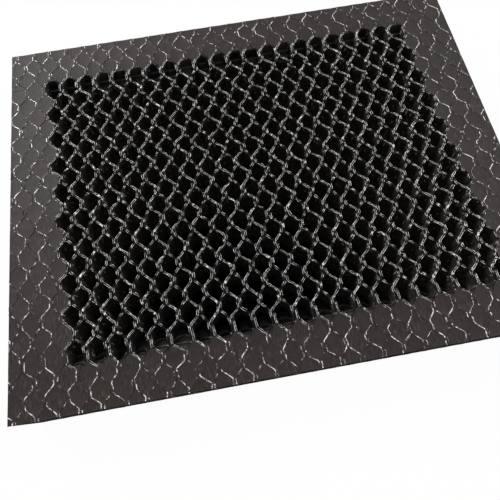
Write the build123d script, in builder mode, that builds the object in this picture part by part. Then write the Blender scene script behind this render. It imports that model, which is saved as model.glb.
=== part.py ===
"""Honeycomb grid for a light: corrugated foil ribbons bonded into open cells, with resin-filled edges.

The panel lies flat. X runs across the ribbons, Y along them and Z through the cells, from the back face
at Z = 0 to the front face. The origin is the centre of the back face. Lengths are in millimetres.
"""

import math
import os

from build123d import *

# The cells
cell_width = 3.2  # across the ribbons, from one double wall to the next in the same row
row_pitch = 2.73  # along the ribbons, from one row of cells to the next
bond_length = 1.45  # the straight stretch where two ribbons are bonded into a double wall
foil_thickness = 0.12  # one ribbon with its black coat; the glue adds nothing to it

# The panel
open_columns = 22
row_pairs = 9  # open rows after the first, which come in pairs so that both ends match
edge_width = 7.3  # resin from the outermost bonds to the panel's edge
panel_thickness = 9.5

# What follows from them
open_rows = 1 + 2 * row_pairs
ribbon_count = 2 * open_columns
slant_across = cell_width / 2 - foil_thickness
slant_along = row_pitch - bond_length
bend_angle = math.atan2(slant_across, slant_along)
bend_shift = foil_thickness / 2 * math.tan(bend_angle / 2)
bonded_half = bond_length / 2 + bend_shift  # half of a double wall, on its glued side
free_half = bond_length / 2 - bend_shift  # half of a double wall, on the side of a cell

fork_y = (open_rows - 1) / 2 * row_pitch + bonded_half  # where the outermost double walls part
tip_y = (open_rows + 1) / 2 * row_pitch - bonded_half  # the outermost ends of the open cells
panel_width = open_columns * cell_width + 2 * edge_width
panel_length = 2 * (tip_y + edge_width)

LEFT, RIGHT = -1, 1


def bond_x(number):
    """The middle of a line of double walls, number 0 to ribbon_count from the left."""
    return (number - open_columns) * cell_width / 2


def row_y(row):
    """The middle of a row of cells, of which 0 to open_rows - 1 are open."""
    return (row - (open_rows - 1) / 2) * row_pitch


def ribbon_face(ribbon, side):
    """The corners of one face of a ribbon, from the near resin to the far resin."""
    corners = []
    for row in range(-1, open_rows + 1):
        leans = LEFT if (ribbon + row) % 2 == 0 else RIGHT
        wall_x = bond_x(ribbon if leans == LEFT else ribbon + 1)
        if side == leans:
            x, half = wall_x, bonded_half
        else:
            x, half = wall_x - leans * foil_thickness, free_half
        corners += [(x, row_y(row) - half), (x, row_y(row) + half)]
    return corners[1:-1]


def near_resin_front():
    """Where the near resin stops: at the fork of each double wall in row 0, and between them round the
    ends of the two ribbons that meet in the row behind."""
    corners = []
    for ribbon in range(ribbon_count):
        left_end = ribbon_face(ribbon, LEFT)
        right_end = ribbon_face(ribbon, RIGHT)
        if ribbon % 2 == 0:
            corners += [left_end[1], left_end[0], right_end[0]]
        else:
            corners += [right_end[0]]
    last_fork = ribbon_face(ribbon_count - 1, RIGHT)[1]
    return corners + [last_fork]


def save(builder, name):
    builder.part.label = name
    export_step(builder.part, f"parts/{name}.step")


os.makedirs("parts", exist_ok=True)

# The foil: one corrugated ribbon after another, each bonded to the one before at every second bend
for ribbon in range(ribbon_count):
    with BuildPart() as foil_ribbon:
        with BuildSketch():
            with BuildLine():
                Polyline(*ribbon_face(ribbon, LEFT), *reversed(ribbon_face(ribbon, RIGHT)), close=True)
            make_face()
        extrude(amount=panel_thickness)
    save(foil_ribbon, f"foil_ribbon_{ribbon + 1:02d}")

# The resin that fills the edge cells: a bar along each end of the ribbons, and one along each side
with BuildPart() as edge_resin_near:
    with BuildSketch():
        with BuildLine():
            Polyline(
                *near_resin_front(),
                (panel_width / 2, -fork_y),
                (panel_width / 2, -panel_length / 2),
                (-panel_width / 2, -panel_length / 2),
                (-panel_width / 2, -fork_y),
                close=True,
            )
        make_face()
    extrude(amount=panel_thickness)
save(edge_resin_near, "edge_resin_near")

with BuildPart() as edge_resin_far:
    mirror(edge_resin_near.part, about=Plane.XZ)
save(edge_resin_far, "edge_resin_far")

with BuildPart() as edge_resin_left:
    with BuildSketch():
        with BuildLine():
            Polyline(
                *ribbon_face(0, LEFT)[1:-1],
                (-panel_width / 2, fork_y),
                (-panel_width / 2, -fork_y),
                close=True,
            )
        make_face()
    extrude(amount=panel_thickness)
save(edge_resin_left, "edge_resin_left")

with BuildPart() as edge_resin_right:
    mirror(edge_resin_left.part, about=Plane.YZ)
save(edge_resin_right, "edge_resin_right")
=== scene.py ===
import bpy
import numpy as np
from mathutils import Matrix, Vector


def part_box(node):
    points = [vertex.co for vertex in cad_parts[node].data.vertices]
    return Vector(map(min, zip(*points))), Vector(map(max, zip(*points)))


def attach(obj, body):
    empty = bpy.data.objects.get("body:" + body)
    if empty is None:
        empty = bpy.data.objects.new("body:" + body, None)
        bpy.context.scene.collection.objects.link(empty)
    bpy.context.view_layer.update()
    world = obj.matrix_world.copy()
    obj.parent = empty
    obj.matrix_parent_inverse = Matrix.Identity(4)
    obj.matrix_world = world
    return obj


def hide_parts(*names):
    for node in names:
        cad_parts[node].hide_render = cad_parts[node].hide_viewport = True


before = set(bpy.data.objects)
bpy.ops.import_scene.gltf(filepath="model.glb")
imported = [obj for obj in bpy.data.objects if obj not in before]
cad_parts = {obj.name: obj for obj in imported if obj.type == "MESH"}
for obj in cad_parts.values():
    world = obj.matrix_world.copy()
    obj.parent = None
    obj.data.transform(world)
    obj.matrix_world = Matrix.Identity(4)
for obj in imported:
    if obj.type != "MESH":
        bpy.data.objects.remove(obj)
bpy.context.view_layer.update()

# Lengths are in millimetres up to where Blender takes them, and MM turns them into its metres. X runs
# across the ribbons, Y along them and Z through the cells.
MM = 0.001

# ---------------------------------------------------------------- the panel, as the CAD has it
ribbon_nodes = sorted(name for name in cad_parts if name.startswith("foil_ribbon_"))
RIBBONS = len(ribbon_nodes)
RIBBON_PITCH = (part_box(ribbon_nodes[1])[0][0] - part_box(ribbon_nodes[0])[0][0]) / MM
ROW_PITCH = 2.73
BOND_HALF = 0.725  # half the length of a double wall
HALF_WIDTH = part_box("edge_resin_near")[1][0] / MM
HALF_LENGTH = -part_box("edge_resin_near")[0][1] / MM
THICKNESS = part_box("edge_resin_near")[1][2] / MM
FORK_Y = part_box("edge_resin_left")[1][1] / MM  # where the last double walls of the open field end
OPEN_ROWS = round(2 * (FORK_Y - BOND_HALF) / ROW_PITCH) + 1

# ---------------------------------------------------------------- how the real core differs from its plan
LEAN = -0.047  # the ribbons run askew by this much of X for each unit of Y
TILT = 0.014  # and the rows by this much of Y for each unit of X
END_STRETCH = 0.75  # the rows in the resin stand this much further out
STRETCH_OVER = 0.75  # as the outermost double walls are longer by it, over this much of their length
STRETCH_FROM = FORK_Y - STRETCH_OVER
FOIL_HALF = 0.05  # half the foil's thickness
SAMPLE = 0.1  # the points along a ribbon are about this far apart
SIDE_RIBBONS = 7  # ribbons beyond the open field at each side; the panel's side cuts the outer ones
END_ROWS = 4  # rows in the resin at each end
SURFACE_CLEAR = 0.015  # the foil keeps this far inside the CAD's faces
RESIN_CLEAR = 0.045  # and the resin between the foil's cut ends this far

ALL_RIBBONS = range(-SIDE_RIBBONS, RIBBONS + SIDE_RIBBONS)
ALL_ROWS = range(-END_ROWS, OPEN_ROWS + END_ROWS)

chance = np.random.default_rng(20)
PLAN_HALF = HALF_LENGTH + 0.6  # the plan is drawn a little past the panel's ends
Y = np.linspace(-PLAN_HALF, PLAN_HALF, int(2 * PLAN_HALF / SAMPLE))
STEP = Y[1] - Y[0]


def smooth(values, width):
    """Values spaced STEP apart, smoothed by a bell of that width, which is cut off at three times it."""
    half = max(1, int(3 * width / STEP))
    bell = np.exp(-0.5 * (np.arange(-half, half + 1) * STEP / width) ** 2)
    return np.convolve(np.pad(values, half, mode="edge"), bell / bell.sum(), mode="valid")


def wander(width):
    """Seeded noise along a ribbon, of mean 0 and spread 1, that changes over about that width."""
    noise = smooth(chance.normal(size=len(Y)), width)
    return (noise - noise.mean()) / noise.std()


def uneven(mean, spread, width, most):
    """Seeded noise along a ribbon about that mean, kept from 0 to that most."""
    return np.clip(mean + spread * wander(width), 0, most)


def place(x, y):
    """Where a point of the square plan lies in the panel, whose core is pulled a little out of true."""
    share = np.clip((np.abs(y) - STRETCH_FROM) / STRETCH_OVER, 0, 1)
    y = y + np.sign(y) * END_STRETCH * share * share * (3 - 2 * share)
    return x + LEAN * y, y + TILT * x


def plan_end(x, side):
    """The Y in the plan that lies on the panel's edge."""
    return side * (HALF_LENGTH - END_STRETCH) - TILT * x


def row_y(row):
    """The Y in the plan of a row of double walls."""
    return (row - (OPEN_ROWS - 1) / 2) * ROW_PITCH


def row_at(y):
    """The row at a Y in the plan, in whole rows and parts of them."""
    return y / ROW_PITCH + (OPEN_ROWS - 1) / 2


def leans_left(ribbon, row):
    """Whether a ribbon is bonded to its left neighbour in a row, or else to its right one."""
    return (ribbon + row) % 2 == 0


def is_bright(ribbon):
    """Every second ribbon took the burr of the cut, and shows more bare metal."""
    return ribbon % 2 == 0


# Each double wall stands a little off its place, and both of its ribbons with it.
OFF_X = 0.06
OFF_Y = 0.07
OFF_IN_RESIN = 1.5  # times as far off in the resin
HALF_UNEVEN = 0.07  # its length differs by about this share
GAP_UNEVEN = 0.12  # and the gap between its two ribbons by this share

bonds = {}
for number in range(-SIDE_RIBBONS, RIBBONS + SIDE_RIBBONS + 1):
    for row in ALL_ROWS:
        loose = 1.0 if 0 <= row < OPEN_ROWS else OFF_IN_RESIN
        bonds[number, row] = {
            "x": (number - RIBBONS / 2) * RIBBON_PITCH + chance.normal() * OFF_X * loose,
            "y": row_y(row) + chance.normal() * OFF_Y * loose,
            "half": BOND_HALF * (1 + chance.normal() * HALF_UNEVEN),
            "spread": 1 + chance.normal() * GAP_UNEVEN,
        }

# How far a ribbon stands from the middle of its double wall, from the far end of the wall to the near end
BOND_POINTS = (1.0, 0.45, -0.15, -1.0)
BRIGHT_STAND = (0.05, 0.15, 0.24, 0.2)
DIM_STAND = (0.26, 0.36, 0.3, 0.16)
BEND_ROUND = 0.15  # the bends are rounded over about this much
WAVE_HEIGHT = 0.012  # and the foil is wavy by about this much
WAVE_WIDTH = 0.5


def centre_line(ribbon):
    """X of the foil's middle at every Y, rounded at the bends and irregular as hand-pulled foil is."""
    xs, ys = [], []
    for row in ALL_ROWS:
        left = leans_left(ribbon, row)
        bond = bonds[ribbon if left else ribbon + 1, row]
        away = 1 if left else -1
        stands = BRIGHT_STAND if is_bright(ribbon) else DIM_STAND
        for share, stand in reversed(list(zip(BOND_POINTS, stands))):
            xs.append(bond["x"] + away * stand * bond["spread"])
            ys.append(bond["y"] + share * bond["half"])
    return smooth(np.interp(Y, ys, xs), BEND_ROUND) + wander(WAVE_WIDTH) * WAVE_HEIGHT


lines = {ribbon: centre_line(ribbon) for ribbon in ALL_RIBBONS}

# ---------------------------------------------------------------- materials
COAT = (0.04, 0.036, 0.033, 1)  # the foil's black coat, near the panel's faces
DEEP_COAT_PAINTED_LIGHT = (0.185, 0.165, 0.15, 1)  # and down in its cells it is painted lighter: painted light in the cells' dark depths
CUT_COAT = (0.006, 0.0055, 0.005, 1)  # on the burr of the cut
BURIED = (0.032, 0.026, 0.0245, 1)  # and in the resin
METAL = (0.9, 0.887, 0.865, 1)
GLINT_SPECK = (0.5, 0.49, 0.465, 1)  # light specks on the coat: painted glints
RESIN = (0.0225, 0.0165, 0.0154, 1)
# the upright sawn faces' resin, lighter than the plain resin by a painted sheen that stands in for the
# reflection these faces leave out
SAWN_RESIN_PAINTED_SHEEN = (0.0355, 0.0295, 0.0284, 1)
COAT_ROUGHNESS = 0.6
METAL_ROUGHNESS = 0.42
METAL_METALLIC = 0.2
COAT_SPECULAR = 0.06
GRAIN = 0.03  # height of the fine bumps in foil and resin


def math_node(tree, operation, *values):
    """The result of a Math node; each value is a socket or a float."""
    node = tree.nodes.new("ShaderNodeMath")
    node.operation = operation
    for socket, value in zip(node.inputs, values):
        if isinstance(value, float):
            socket.default_value = value
        else:
            tree.links.new(value, socket)
    return node.outputs["Value"]


class Material:
    """A node material and short ways to add to it."""

    def __init__(self, name, roughness, specular):
        self.made = bpy.data.materials.new(name)
        self.made.use_nodes = True
        self.tree = self.made.node_tree
        self.nodes = self.tree.nodes
        self.links = self.tree.links
        self.shader = self.nodes["Principled BSDF"]
        self.shader.inputs["Roughness"].default_value = roughness
        self.shader.inputs["Specular IOR Level"].default_value = specular

    def noise(self, scale, stretch=(1, 1, 1), detail=3.0):
        """Noise over the object's own coordinates, at that many cycles per metre."""
        where = self.nodes.new("ShaderNodeTexCoord")
        mapping = self.nodes.new("ShaderNodeMapping")
        mapping.inputs["Scale"].default_value = stretch
        noise = self.nodes.new("ShaderNodeTexNoise")
        noise.inputs["Scale"].default_value = scale
        noise.inputs["Detail"].default_value = detail
        self.links.new(where.outputs["Object"], mapping.inputs["Vector"])
        self.links.new(mapping.outputs["Vector"], noise.inputs["Vector"])
        return noise.outputs["Fac"]

    def position(self):
        """The object's own coordinates as three sockets, by the names X, Y and Z."""
        where = self.nodes.new("ShaderNodeTexCoord")
        parts = self.nodes.new("ShaderNodeSeparateXYZ")
        self.links.new(where.outputs["Object"], parts.inputs["Vector"])
        return parts.outputs

    def attribute(self, name, output="Fac"):
        """What the mesh holds under that name at each point."""
        node = self.nodes.new("ShaderNodeAttribute")
        node.attribute_name = name
        return node.outputs[output]

    def scaled(self, value, low, high, to_low, to_high):
        """Value mapped from one range to another, and kept in it."""
        node = self.nodes.new("ShaderNodeMapRange")
        ranges = {"From Min": low, "From Max": high, "To Min": to_low, "To Max": to_high}
        for socket, number in ranges.items():
            node.inputs[socket].default_value = number
        self.links.new(value, node.inputs["Value"])
        return node.outputs["Result"]

    def deep(self, start, end):
        """0 near the panel's front and back and 1 down in its cells, between those depths."""
        half = THICKNESS / 2
        from_middle = math_node(self.tree, "SUBTRACT", self.position()["Z"], half * MM)
        off = math_node(self.tree, "ABSOLUTE", from_middle)
        return self.scaled(off, (half - end) * MM, (half - start) * MM, 1, 0)

    def mix(self, first, second, factor=None, blend="MIX"):
        """Two colours mixed; each is a socket or a plain colour."""
        node = self.nodes.new("ShaderNodeMix")
        node.data_type = "RGBA"
        node.blend_type = blend
        node.inputs["Factor"].default_value = 1
        if factor is not None:
            self.links.new(factor, node.inputs["Factor"])
        for socket, colour in ((node.inputs[6], first), (node.inputs[7], second)):
            if isinstance(colour, tuple):
                socket.default_value = colour
            else:
                self.links.new(colour, socket)
        return node.outputs[2]

    def ramp(self, value, stops):
        """Greys by value: each stop is a position and the grey there."""
        node = self.nodes.new("ShaderNodeValToRGB")
        elements = node.color_ramp.elements
        while len(elements) < len(stops):
            elements.new(0.5)
        for element, (position, grey) in zip(elements, stops):
            element.position = position
            element.color = (grey, grey, grey, 1)
        self.links.new(value, node.inputs["Fac"])
        return node.outputs["Color"]

    def bump(self, height):
        """Fine bumps of GRAIN's height."""
        node = self.nodes.new("ShaderNodeBump")
        node.inputs["Distance"].default_value = GRAIN * MM
        self.links.new(height, node.inputs["Height"])
        self.links.new(node.outputs["Normal"], self.shader.inputs["Normal"])

    def colour(self, colour):
        """Links a colour to the shader."""
        self.links.new(colour, self.shader.inputs["Base Color"])


def foil_material():
    """Black-coated foil, with bare metal where the cut tore the coat off its edges and painted highlights
    there; painted light deep in its cells, and painted glints on the coat.
    """
    foil = Material("black_foil", COAT_ROUGHNESS, COAT_SPECULAR)
    # The coat is torn where a fine noise and how bare the edge is to be add up to enough.
    torn = foil.scaled(foil.noise(4200, detail=2.0), 0.3, 0.7, -0.7, 0.7)
    wanted = foil.scaled(foil.attribute("bare"), 0, 1, -1.3, 1.9)
    bare = foil.scaled(math_node(foil.tree, "ADD", torn, wanted), 0.1, 0.6, 0, 1)
    # painted light: the coat is painted lighter down in the cells
    coat = foil.mix(COAT, DEEP_COAT_PAINTED_LIGHT, foil.deep(1.8, 4.5))
    # painted glints: light specks on the coat, down in the cells as well
    glint_specks = foil.ramp(foil.noise(1500, stretch=(1.6, 1.6, 0.5), detail=2.0), [(0.64, 0.0), (0.7, 1.0)])
    coat = foil.mix(coat, GLINT_SPECK, glint_specks)
    coat = foil.mix(coat, CUT_COAT, foil.attribute("cut"))
    coat = foil.mix(coat, foil.ramp(foil.noise(1300), [(0.3, 0.5), (0.7, 1.5)]), blend="MULTIPLY")
    under = foil.mix(coat, BURIED, foil.attribute("buried"))
    metal = foil.mix(METAL, foil.ramp(foil.noise(3200), [(0.35, 0.85), (0.65, 1.05)]), blend="MULTIPLY")
    foil.colour(foil.mix(under, metal, bare))
    for name, coated, bared in (
        ("Metallic", 0, METAL_METALLIC),
        ("Roughness", COAT_ROUGHNESS, METAL_ROUGHNESS),
    ):
        foil.links.new(foil.scaled(bare, 0, 1, coated, bared), foil.shader.inputs[name])
    foil.bump(foil.noise(7000))
    return foil.made


def resin_material(name, roughness, specular, plain):
    """The filled edge: resin of that plain colour, each cell's fill of its own shade, with patches of
    marks that run along the ribbons. The shade attribute also carries painted shade and painted highlights."""
    resin = Material(name, roughness, specular)
    marks = resin.noise(1000, stretch=(5, 0.9, 5), detail=4.0)
    streaks = resin.ramp(marks, [(0.34, 0.45), (0.5, 0.87), (0.64, 2.3)])
    patches = resin.scaled(resin.noise(420, detail=2.0), 0.42, 0.58, 0.1, 1)
    cloud = resin.ramp(resin.noise(900), [(0.3, 0.85), (0.7, 1.15)])
    # the shade attribute holds each cell's own tone, with painted shade and painted highlights
    colour = resin.mix(resin.attribute("shade", "Color"), plain, blend="MULTIPLY")
    colour = resin.mix(colour, resin.mix((1, 1, 1, 1), streaks, patches), blend="MULTIPLY")
    resin.colour(resin.mix(colour, cloud, blend="MULTIPLY"))
    resin.bump(marks)
    return resin.made


foil_coat = foil_material()
resin_fill = resin_material("edge_resin", roughness=0.55, specular=0.2, plain=RESIN)
# painted sheen: the sawn faces are lighter in colour, as they reflect nothing
sawn_resin_painted_sheen = resin_material("edge_resin_sawn_painted_sheen", roughness=0.9, specular=0.0, plain=SAWN_RESIN_PAINTED_SHEEN)


# ---------------------------------------------------------------- meshes
def tube_faces(rings, width, outlines):
    """Quads round and along a closed tube of rings, and the faces of those outlines that close its ends."""
    ring = np.arange(rings - 1)[:, None] * width
    column = np.arange(width)[None, :]
    following = (column + 1) % width
    quads = np.stack([ring + column, ring + following, ring + width + following, ring + width + column], -1)
    last = (rings - 1) * width
    ends = [outline[::-1] for outline in outlines] + [[last + i for i in outline] for outline in outlines]
    return quads.reshape(-1, 4).tolist() + ends


def stretches(inside):
    """The stretches of rings that are inside the panel, with one ring more at each end."""
    steps = np.diff(np.concatenate([[0], inside, [0]]))
    return [(max(first - 1, 0), end + 1) for first, end in np.flatnonzero(steps).reshape(-1, 2)]


def mesh_object(name, tubes, outlines, material):
    """One object from tubes, each of them (points by ring and column, attributes by name). None where
    there is no tube, as for a ribbon that lies wholly outside the panel."""
    if not tubes:
        return None
    points, faces, values = [], [], {}
    start = 0
    for tube_points, attributes in tubes:
        rings, width = tube_points.shape[:2]
        points.append(tube_points.reshape(-1, 3))
        faces += [[start + i for i in face] for face in tube_faces(rings, width, outlines)]
        for key, value in attributes.items():
            values.setdefault(key, []).append(value.reshape(rings * width, -1))
        start += rings * width
    mesh = bpy.data.meshes.new(name)
    mesh.from_pydata((np.concatenate(points) * MM).tolist(), [], faces)
    for key, parts in values.items():
        whole = np.concatenate(parts)
        if whole.shape[1] == 1:
            mesh.attributes.new(key, "FLOAT", "POINT").data.foreach_set("value", whole.ravel())
        else:
            mesh.attributes.new(key, "FLOAT_COLOR", "POINT").data.foreach_set("color", whole.ravel())
    mesh.materials.append(material)
    made = bpy.data.objects.new(name, mesh)
    bpy.context.scene.collection.objects.link(made)
    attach(made, "root")
    return made


# ---------------------------------------------------------------- the foil
# How bare a ribbon's edge is round a double wall, from half a row beyond it to half a row before it: partly
# the burr's bare metal, partly painted highlights where the curled burr catches the light
BARE_ALONG = (-0.5, -0.45, -0.4, -0.3, -0.24, -0.16, -0.05, 0.05, 0.16, 0.28, 0.34, 0.4)
BRIGHT_BARE_AND_HIGHLIGHT = (0.74, 0.76, 0.8, 0.95, 0.75, 0.4, 0.35, 0.68, 0.74, 0.66, 0.32, 0.68)
DIM_BARE_AND_HIGHLIGHT = (0.56, 0.36, 0.1, 0.15, 0.62, 0.76, 0.76, 0.6, 0.15, 0.3, 0.8, 0.78)
# In the resin it is more or less bare than that, by its kind and in patches
BRIGHT_MORE = 0.17
DIM_MORE = -0.12
PATCH_MORE = 0.19
PATCH_WIDTH = 0.5
FRONT_LESS = 0.3  # and a dim one is less bare by this over the first stretch, of twice FRONT_HALF
FRONT_HALF = 0.7
END_MORE = 0.12  # within END_REACH of the panel's near and far faces every edge is more bare by this
END_REACH = 3.5
END_BARE = 0.3  # and the foil's sawn ends, in those faces, are this bare

SET_FROM = 0.9  # past the open field's last double walls a ribbon still stands free for this much
SET_OVER = 0.5  # and this much further on it is set in the resin
GLUED_GAP = 0.7  # ribbons nearer to each other than this have glue between them
GLUE_LINE = 0.01  # each of them, with the glue, ends this far from the middle of the gap

# The burr that the cut left: a lip to each side of the foil, with a crest and an outer rim, and a groove
# between the two crests. Each part is uneven over about the width that is given for it.
BRIGHT_LIP = 0.14  # how far a lip stands out from the foil's middle
DIM_LIP = 0.15
LIP_UNEVEN = 0.22  # by about this share of it
LIP_LEAST = FOIL_HALF + 0.02
LIP_MOST = 0.23
LIP_IN_RESIN = 0.072
LIP_WIDTH = 0.12
LIP_DEPTH = 0.13  # a lip reaches down this far from the panel's face
FREE_LIP_DEPTH = 0.24  # and this much further where the ribbon stands free
CREST_AT = 0.78  # the crest lies at this share of how far the lip stands out
CREST_DEPTH, CREST_UNEVEN, CREST_MOST = 0.035, 0.03, 0.1  # and this far below the panel's face
CREST_WIDTH = 0.12
RIM_DEPTH, RIM_UNEVEN, RIM_MOST = 0.05, 0.035, 0.12
RIM_WIDTH = 0.1
RIM_WEAR = 0.85  # the rim is bare by this share of what the crest is
GROOVE_AT = 0.45
GROOVE_DEPTH = 0.06  # below the crests, where the ribbon stands free
# The groove is bare by another share, which makes short rungs of it; in the resin it is more even
BRIGHT_RUNG = 0.1
DIM_RUNG = -0.1
RUNG_UNEVEN = 0.6
RUNG_LEAST, RUNG_MOST = -0.5, 0.6
RUNG_WIDTH = 0.09
RUNG_IN_RESIN = 0.48
RUNG_KEPT = 0.5

WEB = [0, 7, 8, 15]  # the columns of a ribbon's section that bound its web
FOIL_ENDS = [WEB, list(range(8)), list(range(8, 16))]  # the web, and the lips at front and back


def in_resin(ribbon, y):
    """1 where a ribbon is set in resin, 0 where it stands free."""
    if ribbon < 0 or ribbon >= RIBBONS:
        return np.ones(len(y))
    return np.clip((np.abs(y) - FORK_Y - SET_FROM) / SET_OVER, 0, 1)


def edge_bareness_and_highlights(ribbon, y, free):
    """How bare the crests of a ribbon's edge are at every Y, with painted highlights along each row."""
    bright = is_bright(ribbon)
    along = np.round(row_at(y)) - row_at(y)
    # bare metal, and painted highlights where the curled burr catches the light
    bare = np.interp(along, BARE_ALONG, BRIGHT_BARE_AND_HIGHLIGHT if bright else DIM_BARE_AND_HIGHLIGHT, period=1)
    bare = bare + (1 - free) * (PATCH_MORE * wander(PATCH_WIDTH) + (BRIGHT_MORE if bright else DIM_MORE))
    bare = bare + END_MORE * (np.abs(y) > HALF_LENGTH - END_REACH)
    if not bright:
        bare = bare - FRONT_LESS * (np.abs(np.abs(y) - FORK_Y - FRONT_HALF) < FRONT_HALF)
    return bare


def reach(ribbon, side, y, x):
    """How far the foil reaches to one side: with the glue, halfway to its neighbour where it is bonded."""
    if ribbon + side not in lines:
        return FOIL_HALF + 0 * y
    gap = side * (np.interp(y, Y, lines[ribbon + side]) - x)
    glued = (gap < GLUED_GAP) & (in_resin(ribbon, y) < 1)
    return np.where(glued, np.maximum(gap / 2 - GLUE_LINE, FOIL_HALF), FOIL_HALF)


def burr(ribbon, y, x, free):
    """The section of one cut edge at every Y, from left to right. Each column is its offset from the foil's
    middle, its depth below the panel's face, how bare it is as a share of what the crests are, and whether
    the cut made it."""
    bright = is_bright(ribbon)
    lips, crests, rims = [], [], []
    for _ in range(2):
        lip = (BRIGHT_LIP if bright else DIM_LIP) * (1 + LIP_UNEVEN * wander(LIP_WIDTH))
        lips.append(np.clip(lip, LIP_LEAST, LIP_MOST) * free + LIP_IN_RESIN * (1 - free))
        crests.append(uneven(CREST_DEPTH, CREST_UNEVEN, CREST_WIDTH, CREST_MOST))
        rims.append(np.maximum(uneven(RIM_DEPTH, RIM_UNEVEN, RIM_WIDTH, RIM_MOST), crests[-1]))
    groove = GROOVE_DEPTH * free + (crests[0] + crests[1]) / 2
    under = FREE_LIP_DEPTH * free + LIP_DEPTH
    rung = (BRIGHT_RUNG if bright else DIM_RUNG) + RUNG_UNEVEN * wander(RUNG_WIDTH)
    rung = np.clip(rung, RUNG_LEAST, RUNG_MOST)
    rung = rung * (RUNG_KEPT + (1 - RUNG_KEPT) * free) + RUNG_IN_RESIN * (1 - free)
    return [
        (-reach(ribbon, -1, y, x), under, 0.0, False),
        (-lips[0], rims[0], RIM_WEAR, True),
        (-CREST_AT * lips[0], crests[0], 1.0, True),
        (-GROOVE_AT * lips[0], groove, rung, True),
        (GROOVE_AT * lips[1], groove, rung, True),
        (CREST_AT * lips[1], crests[1], 1.0, True),
        (lips[1], rims[1], RIM_WEAR, True),
        (reach(ribbon, 1, y, x), under, 0.0, False),
    ]


def ribbon_tubes(ribbon):
    """One foil ribbon on edge, with the burr along its front and back edges. The panel's left and right
    faces cut the outermost ribbons into several stretches."""
    middle = (ribbon + 0.5 - RIBBONS / 2) * RIBBON_PITCH
    y = np.linspace(plan_end(middle, -1), plan_end(middle, 1), len(Y))
    x = np.interp(y, Y, lines[ribbon])
    slope = np.gradient(x, y)
    square = np.stack([np.ones(len(y)), -slope], -1) / np.sqrt(1 + slope**2)[:, None]
    free = 1 - in_resin(ribbon, y)
    bare = edge_bareness_and_highlights(ribbon, y, free)
    rings, bareness, cut = [], [], []
    for side in (1, -1):
        for offset, depth, wear, was_cut in burr(ribbon, y, x, free)[::side]:
            depth = np.maximum(depth, SURFACE_CLEAR)
            px, py = place(x + square[:, 0] * offset, y + square[:, 1] * offset)
            py = np.clip(py, SURFACE_CLEAR - HALF_LENGTH, HALF_LENGTH - SURFACE_CLEAR)
            py[0], py[-1] = SURFACE_CLEAR - HALF_LENGTH, HALF_LENGTH - SURFACE_CLEAR
            rings.append(np.stack([px, py, THICKNESS - depth if side > 0 else depth], -1))
            bareness.append(bare * wear)
            cut.append(0 * y + was_cut)
    points = np.stack(rings, 1)
    side_x = HALF_WIDTH - SURFACE_CLEAR
    inside = (np.abs(points[:, WEB, 0]) < side_x).any(1)
    points[:, :, 0] = np.clip(points[:, :, 0], -side_x, side_x)
    values = {
        "bare": np.stack(bareness, 1),
        "buried": np.repeat((1 - free)[:, None], len(rings), 1),
        "cut": np.stack(cut, 1),
    }
    tubes = []
    for first, end in stretches(inside):
        values["bare"][first:end][[0, -1]] = END_BARE
        tubes.append((points[first:end], {key: value[first:end] for key, value in values.items()}))
    return tubes


def make_ribbons():
    """The ribbons of the open field, which replace the CAD's, and those inside the left and right edges."""
    for ribbon in ALL_RIBBONS:
        inside = 0 <= ribbon < RIBBONS
        if inside:
            name = ribbon_nodes[ribbon].replace("foil_ribbon", "foil")
        elif ribbon < 0:
            name = f"foil_in_left_edge_{-ribbon}"
        else:
            name = f"foil_in_right_edge_{ribbon - RIBBONS + 1}"
        made = mesh_object(name, ribbon_tubes(ribbon), FOIL_ENDS, foil_coat)
        if inside:
            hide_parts(ribbon_nodes[ribbon])


# ---------------------------------------------------------------- the resin
ACROSS = np.array([0.0, 0.15, 0.32, 0.5, 0.68, 0.85, 1.0])  # columns of a fill's section, as shares of it
LAST = 2 * len(ACROSS) - 1  # the section's last column, below its first
RESIN_ENDS = [[i, i + 1, LAST - 1 - i, LAST - i] for i in range(len(ACROSS) - 1)]  # from front to back
SLIVER = 0.01  # a fill is at least this wide where a side face cuts it to nothing
KEPT_WIDTH = 1.5 * SLIVER  # and where it is no wider than this it is left out
LAP = 0.1  # the fills start this far short of FORK_Y
LEVEL, LEVEL_UNEVEN, LEVEL_WIDTH = 0.045, 0.015, 0.8  # how far they lie below the panel's face
LEVEL_LEAST, LEVEL_MOST = 0.02, 0.1
DISH = 0.05  # this much further in the middle of a cell
FRONT_SINK = 0.05  # and this much at their front
FRONT_SINK_OVER = 1.5
NEAR_FACE = 1.5  # an end this near to the panel's near or far face is brought to it

LIGHT_UNEVEN = 0.07  # the cells' fills differ by about these shares in light and in tint
TINT_UNEVEN = 0.02
CELL_FADE = 0.13  # a fill gets darker by this share over a row, from near to far
FRONT_PAINTED_SHADE_AT = (0, 1.2, 3.2)  # and the resin is painted darker towards its front, a painted shade
FRONT_PAINTED_SHADE = (0.66, 0.77, 1.0)

# Some resin crept on into the last open cells
CREPT_IN, CREPT_IN_UNEVEN = 0.45, 0.2  # it starts this far short of FORK_Y
CREPT_AT = (0.0, 0.4, 0.9, 1.35)  # at these distances from its front it lies this much deeper
CREPT_DEPTH = (3.2, 2.8, 1.4, 0.0)
CREPT_DEPTH_UNEVEN = 0.1
CREPT_PAINTED_SHADE_AT = (0.1, 0.9, 1.4)  # and at these it is painted darker, to this share of its tone: painted shade deep in the open cell
CREPT_PAINTED_SHADE = (0.4, 0.55, 1.0)
ARCH = 0.6  # its front arches this far further into the cell
ARCH_OVER = 0.8
ARC_AT = (0.0, 0.45, 0.8)  # thin arcs of painted highlight, where rims would catch the light, follow the arch
ARC_WIDTH = 0.04
ARC_PAINTED_HIGHLIGHT = (5.8, 7.9, 8.5, 0.0)

UPRIGHT = 0.3  # a face whose normal rises less than this stands upright


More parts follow.
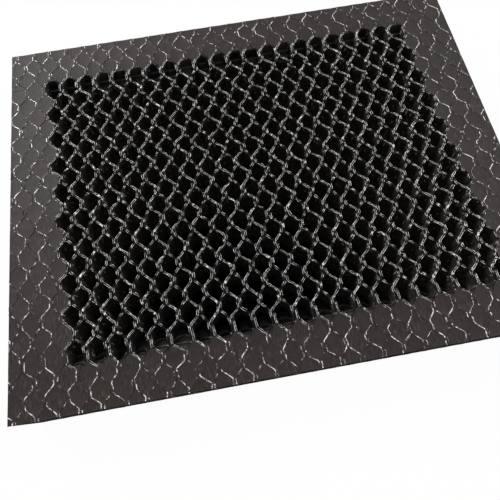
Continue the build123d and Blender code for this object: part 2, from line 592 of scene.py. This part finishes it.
def cell_shades():
    """The shade of each cell's fill, about 1 in every channel."""
    shades = {}
    for left in ALL_RIBBONS:
        for row in ALL_ROWS:
            light = 1 + LIGHT_UNEVEN * chance.normal()
            warm, pink = TINT_UNEVEN * chance.normal(size=2)
            red, green, blue = 1 + warm + pink, 1 - 0.5 * pink, 1 - warm + pink
            shades[left, row] = (light * red, light * green, light * blue, 1)
    return shades


shades = cell_shades()


def resin_tubes(left, start, end, crept=False):
    """The fill between a ribbon and the one to its right, over a stretch of their length. Where it crept
    into an open cell it sinks away from the faces, takes painted shade, and ends in an arch with painted
    highlights."""
    y = np.linspace(start, end, max(4, int(abs(end - start) / SAMPLE)))
    if crept:  # twice as many points where it arches
        fine = np.sign(start) * (abs(start) + np.arange(0, CREPT_AT[-1], SAMPLE / 2))
        y = np.concatenate([fine, y[np.abs(y) > abs(fine[-1]) + SAMPLE / 4]])
    side_x = HALF_WIDTH - RESIN_CLEAR
    shift = place(0, y)[0]
    x_left = np.clip(np.interp(y, Y, lines[left]), -side_x - shift, side_x - shift - SLIVER)
    x_right = np.clip(np.interp(y, Y, lines[left + 1]), SLIVER - side_x - shift, side_x - shift)
    inside = x_right - x_left > KEPT_WIDTH
    row = row_at(y)
    cell = 2 * np.round((row - left % 2) / 2) + left % 2
    dish = DISH * np.clip(1 - (row - cell) ** 2, 0, 1)
    level = LEVEL + LEVEL_UNEVEN * np.interp(y, Y, wander(LEVEL_WIDTH))
    level = np.clip(level, LEVEL_LEAST, LEVEL_MOST)
    colours = np.array([shades[left, int(np.clip(c, ALL_ROWS[0], ALL_ROWS[-1]))] for c in cell])
    colours = colours * (1 - CELL_FADE * (row - cell))[:, None]
    if 0 <= left < RIBBONS - 1:
        beyond = np.abs(y) - FORK_Y
        level = level + FRONT_SINK * np.clip(1 - beyond / FRONT_SINK_OVER, 0, 1)
        # painted shade: the fill is darker towards its front
        colours = colours * np.interp(beyond, FRONT_PAINTED_SHADE_AT, FRONT_PAINTED_SHADE)[:, None]
    arch = 0 * y
    if crept:
        inward = np.abs(y) - abs(start)
        deeper = 1 + CREPT_DEPTH_UNEVEN * chance.normal()
        level = level + np.interp(inward, CREPT_AT, CREPT_DEPTH) * deeper
        arch = ARCH * np.clip(1 - inward / ARCH_OVER, 0, 1)
        arcs = np.exp(-(((inward[:, None] - ARC_AT) / ARC_WIDTH) ** 2)).sum(1)
        # painted shade: the crept resin is darker deep in the open cell
        colours = colours * np.interp(inward, CREPT_PAINTED_SHADE_AT, CREPT_PAINTED_SHADE)[:, None]
        # painted highlights: thin light arcs along the arch
        colours = colours + arcs[:, None] * ARC_PAINTED_HIGHLIGHT
    rings = []
    for front in (True, False):
        for share in ACROSS if front else ACROSS[::-1]:
            hump = 4 * share * (1 - share)
            px, py = place(x_left + (x_right - x_left) * share, y - np.sign(start) * arch * hump)
            py = np.clip(py, RESIN_CLEAR - HALF_LENGTH, HALF_LENGTH - RESIN_CLEAR)
            depth = level + dish * hump
            rings.append(np.stack([px, py, THICKNESS - depth if front else depth], -1))
    points = np.stack(rings, 1)
    for ring, edge in ((0, start), (-1, end)):
        if abs(abs(place(0, edge)[1]) - HALF_LENGTH) < NEAR_FACE:
            points[ring, :, 1] = np.sign(edge) * (HALF_LENGTH - RESIN_CLEAR)
    if end < start:
        points, colours, inside = points[::-1], colours[::-1], inside[::-1]
    # each cell's own tone, with the painted shade and painted highlights
    shade = np.repeat(colours[:, None, :], len(rings), 1)
    return [(points[first:end], {"shade": shade[first:end]}) for first, end in stretches(inside)]


def saw_edges_painted_sheen(made):
    """Gives the faces that stand upright, which are sawn and not sanded, a duller finish, with a painted
    sheen in their colour in place of the reflection.
    """
    polygons = made.data.polygons
    normals = np.empty(3 * len(polygons))
    polygons.foreach_get("normal", normals)
    made.data.materials.append(sawn_resin_painted_sheen)
    polygons.foreach_set("material_index", (np.abs(normals[2::3]) < UPRIGHT).astype(np.int32))


def make_resin():
    """The four bars of resin, each replacing the CAD's."""
    pieces = {"near": [], "far": [], "left": [], "right": []}
    for left in ALL_RIBBONS[:-1]:
        middle = (left + 1 - RIBBONS / 2) * RIBBON_PITCH
        in_field = 0 <= left < RIBBONS - 1
        for side, name in ((-1, "near"), (1, "far")):
            end_row = -1 if side < 0 else OPEN_ROWS
            crept = in_field and leans_left(left + 1, end_row)
            lap = CREPT_IN + CREPT_IN_UNEVEN * chance.normal() if crept else LAP
            pieces[name] += resin_tubes(left, side * (FORK_Y - lap), plan_end(middle, side), crept)
        if not in_field:
            name = "left" if left < 0 else "right"
            pieces[name] += resin_tubes(left, -FORK_Y + LAP, FORK_Y - LAP)
    for name, tubes in pieces.items():
        made = mesh_object(f"resin_{name}", tubes, RESIN_ENDS, resin_fill)
        saw_edges_painted_sheen(made)
        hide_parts(f"edge_resin_{name}")


make_ribbons()
make_resin()


# ---------------------------------------------------------------- camera, floor and lamps
CAMERA_AT = (-6.3, -35.9, 73.4)
CAMERA_TARGET = (-3.8, -13.85, 9.5)
CAMERA_ROLL = -3.8
FILM_WIDTH = 36
FOCAL_LENGTH = 30.2
NEAREST_SEEN = 5

FLOOR_HALF = 2000
FLOOR_WHITE = (0.9, 0.9, 0.9, 1)
FLOOR_GLOW = 0.975  # how much of the floor's white doesn't depend on the lamps
# the floor is painted dark under the cells: painted shade where the panel shadows it
PAINTED_SHADE_FOOTPRINT = (0.02, 0.02, 0.02, 1)
PAINTED_SHADE_FOOTPRINT_TUCK = 1  # the painted shade, a dark footprint under the cells, ends this far inside the panel's edge
WORLD_LEVEL = 0.25


def aim(thing, at, target, roll=0.0):
    """Stands a camera or lamp at a point, looking at another, rolled by that many degrees."""
    forward = Vector(target) - Vector(at)
    turn = forward.to_track_quat("-Z", "Y").to_matrix() @ Matrix.Rotation(np.radians(roll), 3, "Z")
    thing.matrix_world = Matrix.Translation(Vector(at) * MM) @ turn.to_4x4()


def make_camera():
    """The camera, at the photo's angle."""
    data = bpy.data.cameras.new("camera")
    data.sensor_width = FILM_WIDTH
    data.lens = FOCAL_LENGTH
    data.clip_start = NEAREST_SEEN * MM
    camera = bpy.data.objects.new("camera", data)
    bpy.context.scene.collection.objects.link(camera)
    aim(camera, CAMERA_AT, CAMERA_TARGET, CAMERA_ROLL)
    bpy.context.scene.camera = camera


def make_lamp(name, at, size, level):
    """A square soft lamp that lights a level surface at the panel to that share of white."""
    data = bpy.data.lights.new(name, "AREA")
    data.shape = "SQUARE"
    data.size = size * MM
    distance = Vector(at).length * MM
    data.energy = level * np.pi**2 * distance**2 / (at[2] * MM / distance)
    lamp = bpy.data.objects.new(name, data)
    bpy.context.scene.collection.objects.link(lamp)
    aim(lamp, at, (0, 0, 0))


def white_to_camera(tree, plain, white, mask=None):
    """A shader that is white to camera, glossy and transmission rays, and plain to all others. A mask
    keeps the white to part of the surface."""
    path = tree.nodes.new("ShaderNodeLightPath")
    factor = path.outputs["Is Camera Ray"]
    for other in ("Is Glossy Ray", "Is Transmission Ray"):
        factor = math_node(tree, "MAXIMUM", factor, path.outputs[other])
    if mask is not None:
        factor = math_node(tree, "MULTIPLY", factor, mask)
    mix = tree.nodes.new("ShaderNodeMixShader")
    tree.links.new(factor, mix.inputs["Fac"])
    tree.links.new(plain, mix.inputs[1])
    tree.links.new(white, mix.inputs[2])
    return mix.outputs["Shader"]


def make_floor():
    """A white floor that keeps the panel's shadow, and is painted dark under the cells, a painted shade."""
    floor = Material("floor", roughness=0.9, specular=0.0)
    nodes, links = floor.nodes, floor.links
    where = floor.position()
    beyond = []
    for axis, half in (("X", HALF_WIDTH), ("Y", HALF_LENGTH)):
        off = math_node(floor.tree, "ABSOLUTE", where[axis])
        beyond.append(math_node(floor.tree, "GREATER_THAN", off, (half - PAINTED_SHADE_FOOTPRINT_TUCK) * MM))
    outside = math_node(floor.tree, "MAXIMUM", *beyond)
    # painted shade: dark under the cells, white beyond them
    floor.colour(floor.mix(PAINTED_SHADE_FOOTPRINT, FLOOR_WHITE, outside))
    glow = nodes.new("ShaderNodeEmission")
    glow.inputs["Strength"].default_value = 1
    partly = nodes.new("ShaderNodeMixShader")
    partly.inputs["Fac"].default_value = FLOOR_GLOW
    links.new(floor.shader.outputs["BSDF"], partly.inputs[1])
    links.new(glow.outputs["Emission"], partly.inputs[2])
    shader = white_to_camera(floor.tree, floor.shader.outputs["BSDF"], partly.outputs["Shader"], outside)
    links.new(shader, nodes["Material Output"].inputs["Surface"])
    size = FLOOR_HALF * MM
    mesh = bpy.data.meshes.new("floor")
    corners = [(-size, -size, 0), (size, -size, 0), (size, size, 0), (-size, size, 0)]
    mesh.from_pydata(corners, [], [(0, 1, 2, 3)])
    mesh.materials.append(floor.made)
    made = bpy.data.objects.new("floor", mesh)
    bpy.context.scene.collection.objects.link(made)


def make_world():
    """A world that lights the panel plainly and is white to the camera."""
    world = bpy.data.worlds.new("world")
    world.use_nodes = True
    tree = world.node_tree
    tree.nodes.clear()
    backgrounds = []
    for strength in (WORLD_LEVEL, 1):
        background = tree.nodes.new("ShaderNodeBackground")
        background.inputs["Color"].default_value = (1, 1, 1, 1)
        background.inputs["Strength"].default_value = strength
        backgrounds.append(background.outputs["Background"])
    out = tree.nodes.new("ShaderNodeOutputWorld")
    tree.links.new(white_to_camera(tree, *backgrounds), out.inputs["Surface"])
    bpy.context.scene.world = world


make_camera()
make_floor()
make_world()
make_lamp("key", at=(-350, 420, 420), size=300, level=0.5)
make_lamp("fill", at=(450, 150, 380), size=400, level=0.25)
bpy.context.scene.view_settings.view_transform = "Standard"
